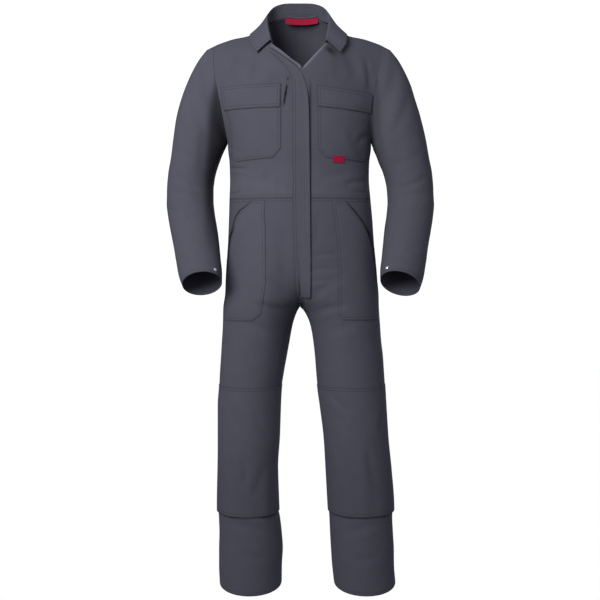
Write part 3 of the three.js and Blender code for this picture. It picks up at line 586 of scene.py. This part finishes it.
leg_folds_back = [
    [-20, -700, -130, -640, 14, -3.4, 7], [24, -700, 130, -645, 14, -3.4, -7],
    [-30, -740, -150, -720, 11, -3.0, 5], [34, -742, 150, -726, 11, -3.0, -5],
    [-60, -800, -180, -790, 12, -2.2, 5], [70, -802, 185, -786, 12, -2.2, -5],
    [-70, -1010, -200, -1030, 12, -3.0, 6], [-64, -1060, -205, -1050, 11, -2.8, -5],
    [-70, -1110, -200, -1120, 12, -2.4, 5], [80, -1012, 215, -1028, 12, -3.0, -6],
    [84, -1064, 220, -1050, 11, -2.8, 5], [90, -1112, 225, -1124, 12, -2.4, -5],
    [-70, -1330, -190, -1300, 12, -2.2, 5], [110, -1334, 225, -1305, 12, -2.2, -5],
    [-80, -1410, -180, -1390, 12, -1.6, 4], [120, -1412, 230, -1394, 12, -1.6, -4],
]
leg_folds = (leg_folds_front, leg_folds_back)
pocket_mouth = {
    -1: Table("z x", [[-440, 118], [-446, 124.5], [-455, 135], [-473, 159], [-488, 169], [-505, 175],
                      [-523, 180.5], [-544, 188], [-604, 196], [-662, 200], [-740, 203.5]]),
    1: Table("z x", [[-440, 113], [-446, 118], [-468, 137.5], [-507.5, 168.5], [-546.5, 190], [-595, 201],
                     [-650, 207], [-740, 210.5]])}
# Painted shadow under the bottom of each knee patch: how dark along x.
knee_shadow = {-1: Table("x dark", [[-225, 0.1], [-205, 0.5], [-170, 0.75], [-140, 0.5], [-118, 0.15],
                                    [-98, 0.6], [-75, 0.5], [-55, 0.1]]),
               1: Table("x dark", [[78, 0.1], [95, 0.7], [135, 0.8], [150, 0.35], [165, 0.75], [190, 0.5],
                                   [220, 0.5], [252, 0.2]])}


def behind_patches(side):
    """Painted shade on a leg front inside the pocket's mouth, under the knee patch, beside the placket and at the
    crotch, painted shade low on the calf, and painted light on the inner side of the right leg.
    """
    def shaded(x, z):
        past = np.abs(x) - pocket_mouth[side].read(z)["x"]
        mouth = step_between(past, -14, -2) * (1 - step_between(past, 2.5, 9)) * step_between(-z, 440, 470)
        mouth = mouth * (1 - step_between(-z, 650, 735))
        below = step_between(-z, 1276, 1288) * (1 - step_between(-z, 1290, 1299))
        knee = knee_shadow[side].read(x)["dark"] * below
        fly = placket_shadow(x, z) if side > 0 else 0.2 * step_between(-z, 560, 680) * step_between(x, -100, -70)
        crotch = 0.95 * np.exp(-((x / 11) ** 2) - ((z + 728) / 20) ** 2)
        inside = 0.3 * step_between(x, -95, -60) * step_between(-z, 780, 900) if side < 0 else 0
        low = 0.08 * step_between(-z, 1280, 1310)
        return np.maximum(np.maximum(mouth * 0.95, knee), np.maximum(fly, crotch)) - inside + low
    return shaded


for side, hand in ((-1, "right"), (1, "left")):
    leg_front = sew(f"leg_front_{hand}", leg_panel(side, True), 90, 240, "bt", folds=leg_folds,
                    shaded=behind_patches(side), row=("r", 29) if side < 0 else None)
    leg_back = sew(f"leg_back_{hand}", leg_panel(side, False), 60, 220, "bt", folds=leg_folds)


# Placket: a folded strip sewn to the right front, covering the fastening. Its free edge lies to the
# wearer's left, and its top turns along the neckline.
placket_line = Table("row sewn_x sewn_z free_x free_z", numbered([
    [-9.8, -701, 28.7, -701], [-11, -680, 28.5, -680], [-12.5, -655, 28.2, -655],
    [-14, -625, 27.8, -625], [-15.5, -590, 27.4, -590], [-17, -550, 26.8, -550],
    [-18, -510, 26.3, -510], [-18.6, -470, 25.9, -470], [-18.9, -430, 25.6, -430],
    [-19, -390, 25.2, -390], [-19.2, -350, 24.8, -350], [-19.4, -310, 24.3, -310],
    [-19.5, -270, 23.8, -270], [-19.6, -235, 23.2, -235], [-19.6, -205, 22.4, -205],
    [-19.4, -178, 20.8, -179], [-19.6, -153, 17.6, -155], [-22.3, -128, 11, -131],
    [-29.5, -109, 3, -111], [-40, -92, -10, -96], [-54, -77, -31, -79], [-68, -62.5, -54, -61],
    [-80, -51, -75, -44.5]]))


def suit_front(x, z):
    """The front of the whole suit near its middle, bodice above the waist and legs below it."""
    right = leg_ring(-1, z)
    left = leg_ring(1, z)
    middle, half = np.where(x < 0, right[0], left[0]), np.where(x < 0, right[1], left[1])
    across = np.clip((np.abs(x) - middle) / half, -1, 1)
    leg = right[2]["front"] * np.sqrt(1 - across**2)
    return np.stack([x, -np.where(z > waist, bodice_depth(x, z, True), leg), z], 1)


def placket_place(across, up):
    row = placket_line.read(up * 22)
    x = row["sewn_x"] * (1 - across) + row["free_x"] * across
    z = row["sewn_z"] * (1 - across) + row["free_z"] * across
    return suit_front(x, z)


def placket_out(x, z):
    return 3.0 + 2.2 * step_between(x, 6, 24) * step_between(-z, 120, 200)


suit_folds = (bodice_folds_front + leg_folds_front, [])
placket = sew("placket", placket_place, 20, 264, "l", out=placket_out, folds=suit_folds, thickness=2, outward=1,
              cloth=patch_twill, row=("r", 14))


# Collar: one piece with its stand, sewn round the neck, folded over at the roll line and lying open
# in two points. The fall is stitched along its edge.
collar_line = Table("station seam_x seam_y seam_z roll_x roll_y roll_z edge_x edge_y edge_z", [
    [0, 0, 68, 79.6, 0, 71, 119, 0, 100, 60], [1, 18, 67.5, 79, 19, 70, 118.8, 25, 99.5, 58],
    [2, 36, 65.5, 76.4, 38, 68, 117.5, 49, 97, 56], [3, 62, 55, 67, 64, 56, 107, 88, 78, 46],
    [4, 76, 28, 54, 79, 29, 86, 106, 42, 37], [5, 81, 0, 46, 85, 2, 66, 118, 4, 26],
    [6, 78.2, -32, 26, 84, -33, 42, 133, -27, 8], [7, 73.9, -58, 1, 80, -61, 15, 130, -57, -17],
    [8, 68.5, -79, -23, 73, -85, -17, 112, -84, -50]])


def collar_place(across, up):
    station = across * 16 - 8
    side = np.where(station < 0, -1, 1)
    row = collar_line.read(np.abs(station))

    def corner(name):
        return np.stack([neck_middle + side * row[name + "_x"], row[name + "_y"], row[name + "_z"]], 1)

    seam, roll, edge = corner("seam"), corner("roll"), corner("edge")
    away = (edge - seam) * [1, 1, 0]
    away /= np.linalg.norm(away, axis=1, keepdims=True)
    line = [seam, seam + (roll - seam) * 0.5, seam + (roll - seam) * 0.9, roll + away * 1.6,
            roll + (edge - roll) * 0.1 + away * 2.4, roll + (edge - roll) * 0.45 + away * 2, edge]
    line = np.stack([2 * line[0] - line[1], *line, 2 * line[-1] - line[-2]])
    low = np.minimum((up * 6).astype(int), 5)
    part = (up * 6 - low)[:, None]
    pick = np.arange(len(up))
    p0, p1, p2, p3 = (line[low + step, pick] for step in range(4))
    return 0.5 * (2 * p1 + (p2 - p0) * part + (2 * p0 - 5 * p1 + 4 * p2 - p3) * part**2
                  + (3 * p1 - p0 - 3 * p2 + p3) * part**3)


def collar_shade(x, z):
    """Painted shade on the stand at the back of the neck, and painted light that makes the left point a little
    lighter.
    """
    return 0.26 * step_between(z, 62, 84) - 0.22 * step_between(x, 62, 80)


collar = sew("collar", collar_place, 128, 36, "lrtb", outward=0, shaded=collar_shade)


# Chest pockets and flaps: patch pockets with a cut lower corner, sewn on three sides, and flaps sewn
# along the top. The cloth of a pocket stands off the front a little in its middle.
def patch(rows, surface):
    """Lays a patch on a surface. Each row gives its inner and its outer end in front view."""
    line = Table("row inner_x inner_z outer_x outer_z", numbered(rows), straight=True)

    def place(across, up):
        row = line.read(up * (len(rows) - 1))
        x = row["inner_x"] * (1 - across) + row["outer_x"] * across
        z = row["inner_z"] * (1 - across) + row["outer_z"] * across
        return surface(x, z)
    return place


def on_bodice(x, z):
    return np.stack([x, -bodice_depth(x, z, True), z], 1)


def pocket_puff(x, z):
    across = np.cos((np.abs(x) - 118) / 70 * np.pi / 2)
    up = np.cos((z + 250) / 100 * np.pi / 2)
    return 0.5 + 2 * np.maximum(across, 0) * np.maximum(up, 0)


def pocket_out(x, z):
    return pocket_puff(x, z) + 0.7


def flap_out(x, z):
    return pocket_puff(x, z) + 2.1 + 1.1 * step_between(-z, 150, 205) * (1.1 + np.sin(x * 0.09 + 1) * 0.4)


pocket_rows_right = [
    [-71, -334, -172, -341], [-50, -309, -184, -328], [-50, -270, -185.4, -265], [-50, -230, -192, -228],
    [-50, -186, -201.5, -188], [-50, -144, -206, -146]]
pocket_rows_left = [
    [68, -334, 170, -341], [47, -309, 182, -328], [47, -270, 183.6, -265], [47, -230, 186, -230],
    [47, -186, 189, -192], [47, -148, 190, -163]]
flap_rows_right = [
    [-52.5, -202, -203, -202], [-51.7, -181, -206, -182], [-50.8, -160, -209, -161], [-50, -139.5, -212, -141]]
flap_rows_left = [
    [47, -200, 189, -210], [46.2, -181, 190.5, -194], [45.4, -162, 192.3, -177], [44.5, -143, 194, -160]]
chest_pocket_right = sew("chest_pocket_right", patch(pocket_rows_right, on_bodice), 44, 60, "lrb",
                         out=pocket_out, folds=bodice_folds, cloth=patch_twill, thickness=1)
chest_pocket_left = sew("chest_pocket_left", patch(pocket_rows_left, on_bodice), 44, 60, "lrb",
                        out=pocket_out, folds=bodice_folds, cloth=patch_twill, thickness=1)
chest_flap_right = sew("chest_flap_right", patch(flap_rows_right, on_bodice), 48, 24, "lrbt",
                       out=flap_out, folds=bodice_folds, cloth=patch_twill, thickness=1)
chest_flap_left = sew("chest_flap_left", patch(flap_rows_left, on_bodice), 48, 24, "lrbt",
                      out=flap_out, folds=bodice_folds, cloth=patch_twill, thickness=1)


# Thigh pockets: patch pockets hanging from the waist seam. The opening beside the hip is curved on
# the right leg and slanted on the left, and gapes a little.
def on_leg(side):
    def surface(x, z):
        middle, half, depth = leg_ring(side, z)
        across = np.clip((np.abs(x) - middle) / half, -0.999, 0.999)
        return leg_point(side, True, np.arccos(across), z)
    return surface


def thigh_out(x, z):
    gape = step_between(np.abs(x), 120, 180) * step_between(-z, 446, 500) * (1 - step_between(-z, 620, 740))
    return 1.2 + 2.2 * gape


def mouth_shade(side):
    """Painted shade along the edge of a thigh pocket's mouth, where it turns away beside the hip, and painted light
    on the pocket's upper part.
    """
    def shaded(x, z):
        past = np.abs(x) - pocket_mouth[side].read(z)["x"]
        edge = step_between(past, -7, -3) * step_between(-z, 500, 535) * (1 - step_between(-z, 655, 690))
        return edge * 1.2 - 0.1 * (1 - step_between(-z, 560, 700))
    return shaded


thigh_rows_right = [
    [-126, -765, -205, -767], [-103, -747, -203.5, -740], [-95, -700, -202, -700], [-90, -662, -200, -662],
    [-90.3, -604, -196, -604], [-90.7, -544, -188, -544], [-91, -523, -180.5, -523], [-92.5, -505, -175, -505],
    [-93.6, -488, -169, -488], [-93.7, -473, -159, -473], [-92.6, -455, -135, -455], [-92, -446, -124.5, -446]]
thigh_rows_left = [
    [113, -762, 209, -765], [101, -745, 210.5, -740], [100.8, -700, 211, -700], [100.4, -650, 207, -650],
    [100, -595, 201, -590], [96, -546.5, 190, -546.5], [92.6, -507.5, 168.5, -507.5],
    [87, -468, 137.5, -468], [83, -446, 118, -446]]
thigh_pocket_right = sew("thigh_pocket_right", patch(thigh_rows_right, on_leg(-1)), 40, 110, "lrbt",
                         out=thigh_out, folds=leg_folds, cloth=patch_twill, thickness=1, shaded=mouth_shade(-1))
thigh_pocket_left = sew("thigh_pocket_left", patch(thigh_rows_left, on_leg(1)), 40, 112, "lrbt",
                        out=thigh_out, folds=leg_folds, cloth=patch_twill, thickness=1, shaded=mouth_shade(1))


# Knee patches: one over the whole front of each leg, sewn along the top and the sides. The bottom is
# left open and stands off the calf.
def knee_place(side):
    def place(across, up):
        z = -1290 + 345 * up
        return leg_point(side, True, 0.03 + (np.pi - 0.06) * across, z)
    return place


def knee_out(x, z):
    return 1.2 + 2.6 * step_between(-z, 1100, 1290) * (1 + 0.45 * np.sin(x * 0.055) + 0.25 * np.sin(x * 0.14 + 2))


def knee_shade(x, z):
    """Painted shade on the lower half of a patch, and painted light on the inner side of the right one."""
    return 0.13 * step_between(-z, 1040, 1200) - 0.25 * step_between(x, -92, -62) * (1 - step_between(x, -20, 0))


for side, hand in ((-1, "right"), (1, "left")):
    knee = sew(f"knee_pocket_{hand}", knee_place(side), 70, 86, "tb", out=knee_out, folds=leg_folds,
               cloth=patch_twill, row=("t", 19), thickness=1, shaded=knee_shade)


# Red tabs: a bare tape under the left chest pocket's edge, and a bare strip inside the back neck with
# a narrow hanging loop of twill above it.
def red_tape(name, shade):
    material, shader, node = start_material(name, {"Roughness": 0.8, "Specular IOR Level": 0.1})
    coordinate = node.make("ShaderNodeUVMap", {"uv_map": "cloth"})
    across = coordinate.make("ShaderNodeSeparateXYZ", None, {"Vector": coordinate}, "X")
    threads = (across * (2 * np.pi / 0.0007)).math("SINE", across * (2 * np.pi / 0.0007))
    tone = 0.96 + threads * 0.04
    colour = tone.make("ShaderNodeVectorMath", {"operation": "SCALE"}, {"Vector": shade, "Scale": tone})
    finish_material(shader, colour, threads, 0.00005)
    return material


tape = red_tape("red_tape", (0.2, 0.005, 0.022))
tab_rows = [[86, -346, 116, -346], [86, -328, 116, -328]]


def tab_out(x, z):
    return pocket_puff(x, z) + 0.7 + 0.3 + 0.8


pocket_label = sew("pocket_label", patch(tab_rows, on_bodice), 12, 8, out=tab_out, folds=bodice_folds,
                   thickness=0.8, cloth=tape)


neck_seam = Table("reach y z", [[row[1], row[2], row[3]] for row in collar_line.values[:6]])


def neck_strip(from_x, to_x, bottom, top, sag, gap):
    """Just inside the back panel and, above the neck seam, inside the collar stand."""
    def place(across, up):
        x = from_x + (to_x - from_x) * across
        z = bottom + (top - bottom) * up - sag * np.sin(np.pi * across)
        seam = neck_seam.read(np.abs(x - neck_middle))
        behind = np.minimum(bodice_depth(x, np.minimum(z, seam["z"] - 1), False), seam["y"])
        return np.stack([x, behind - 1.6 - gap, z], 1)
    return place


neck_label = sew("neck_label", neck_strip(-41, 50, 58.5, 75.5, 3, 3.0), 30, 8, thickness=0.8,
                 cloth=tape, outward=1)
hanger_loop = sew("hanger_loop", neck_strip(-36, 46, 77, 81.5, 3, 2.7), 30, 4, thickness=1.2, outward=1)


# Press studs: a turned metal cap on each cuff, closed, near its inner side.
def steel_cap():
    material, shader, node = start_material("press_stud", {"Roughness": 0.5, "Metallic": 1.0})
    coordinate = node.make("ShaderNodeTexCoord", None, None, "Object")
    grain = node.make("ShaderNodeTexNoise", None, {"Vector": coordinate, "Scale": 4000.0}, "Fac")
    tone = 0.9 + grain * 0.2
    colour = tone.make("ShaderNodeVectorMath", {"operation": "SCALE"}, {"Vector": (0.62, 0.62, 0.63), "Scale": tone})
    finish_material(shader, colour, grain, 0.00002)
    return material


cap = steel_cap()
for side, hand in ((-1, "right"), (1, "left")):
    turn, ring = np.array([np.radians(136)]), np.array([16.55])
    centre = sleeve_point(side, ring, turn)[0]
    along = sleeve_point(side, ring + 0.1, turn)[0] - sleeve_point(side, ring - 0.1, turn)[0]
    around = sleeve_point(side, ring, turn + 0.05)[0] - sleeve_point(side, ring, turn - 0.05)[0]
    normal = Vector(np.cross(around, along)).normalized()
    normal = -normal if normal.y > 0 else normal
    dome = bmesh.new()
    outline = [Vector((radius, 0, height)) for radius, height in
               ((0, 2.4), (1.4, 2.3), (2.6, 2.05), (3.4, 1.6), (3.9, 1.2), (4.5, 1.15), (4.9, 0.8), (5, 0), (0, 0))]
    points = [dome.verts.new(point) for point in outline]
    edges = [dome.edges.new(pair) for pair in zip(points, points[1:])]
    bmesh.ops.spin(dome, geom=points + edges, cent=(0, 0, 0), axis=(0, 0, 1), angle=2 * np.pi, steps=40,
                   use_merge=True)
    bmesh.ops.remove_doubles(dome, verts=dome.verts, dist=0.001)
    bmesh.ops.recalc_face_normals(dome, faces=dome.faces)
    turned = Vector((0, 0, 1)).rotation_difference(normal).to_matrix()
    bmesh.ops.rotate(dome, verts=dome.verts, cent=(0, 0, 0), matrix=turned)
    bmesh.ops.translate(dome, verts=dome.verts, vec=Vector(centre) + normal * 0.5)
    bmesh.ops.scale(dome, verts=dome.verts, vec=(0.001, 0.001, 0.001))
    mesh = bpy.data.meshes.new(f"cuff_stud_{hand}")
    dome.to_mesh(mesh)
    dome.free()
    mesh.shade_smooth()
    mesh.materials.append(cap)
    stud = bpy.data.objects.new(f"cuff_stud_{hand}", mesh)
    bpy.context.collection.objects.link(stud)
    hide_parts(f"cuff_stud_{hand}")
    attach(stud, "root")


# Studio: a white surround and a pale floor that only the camera sees, a soft even light from all
# round, one broad lamp from the upper left, a weak one from behind and a camera level with the hips, 2.6 m away.
def studio_white(name, brightness):
    material, shader, node = start_material(name, {"Roughness": 1.0})
    shader.inputs["Base Color"].default_value = (0, 0, 0, 1)
    shader.inputs["Specular IOR Level"].default_value = 0
    shader.inputs["Emission Color"].default_value = (1, 1, 1, 1)
    shader.inputs["Emission Strength"].default_value = brightness
    return material


for name, brightness in (("surround", 1.05), ("floor", 1.0)):
    shell = bmesh.new()
    if name == "surround":
        bmesh.ops.create_icosphere(shell, subdivisions=3, radius=24)
    else:
        bmesh.ops.create_grid(shell, x_segments=1, y_segments=1, size=14)
        bmesh.ops.translate(shell, verts=shell.verts, vec=(0, 0, -2.2))
    mesh = bpy.data.meshes.new(name)
    shell.to_mesh(mesh)
    shell.free()
    mesh.materials.append(studio_white(name, brightness))
    card = bpy.data.objects.new(name, mesh)
    card.visible_diffuse = False
    card.visible_glossy = False
    card.visible_transmission = False
    card.visible_shadow = False
    bpy.context.collection.objects.link(card)

world = bpy.data.worlds.new("room")
world.use_nodes = True
world.node_tree.nodes["Background"].inputs["Color"].default_value = (0.96, 0.96, 1.08, 1)
world.node_tree.nodes["Background"].inputs["Strength"].default_value = 0.5
bpy.context.scene.world = world
bpy.context.scene.view_settings.view_transform = "Standard"

lamp = bpy.data.lights.new("softbox", "AREA")
lamp.shape = "DISK"
lamp.size = 1.6
lamp.energy = 113
softbox = bpy.data.objects.new("softbox", lamp)
softbox.location = (-1.25, -2.16, 0.6)
softbox.rotation_euler = (Vector((0, 0, 0.1)) - softbox.location).to_track_quat("-Z", "Y").to_euler()
back_lamp = bpy.data.lights.new("back_light", "AREA")
back_lamp.shape = "DISK"
back_lamp.size = 2.4
back_lamp.energy = 60
back_light = bpy.data.objects.new("back_light", back_lamp)
back_light.location = (1.1, 2.6, 0.4)
back_light.rotation_euler = (Vector((0, 0, -0.6)) - back_light.location).to_track_quat("-Z", "Y").to_euler()
for light in (softbox, back_light):
    bpy.context.collection.objects.link(light)

lens = bpy.data.cameras.new("camera")
lens.sensor_width = 36
lens.lens = 56.7
lens.shift_y = -0.0917
camera = bpy.data.objects.new("camera", lens)
camera.location = (0, -2.6, -0.564)
camera.rotation_euler = (np.pi / 2, 0, 0)
bpy.context.collection.objects.link(camera)
bpy.context.scene.camera = camera
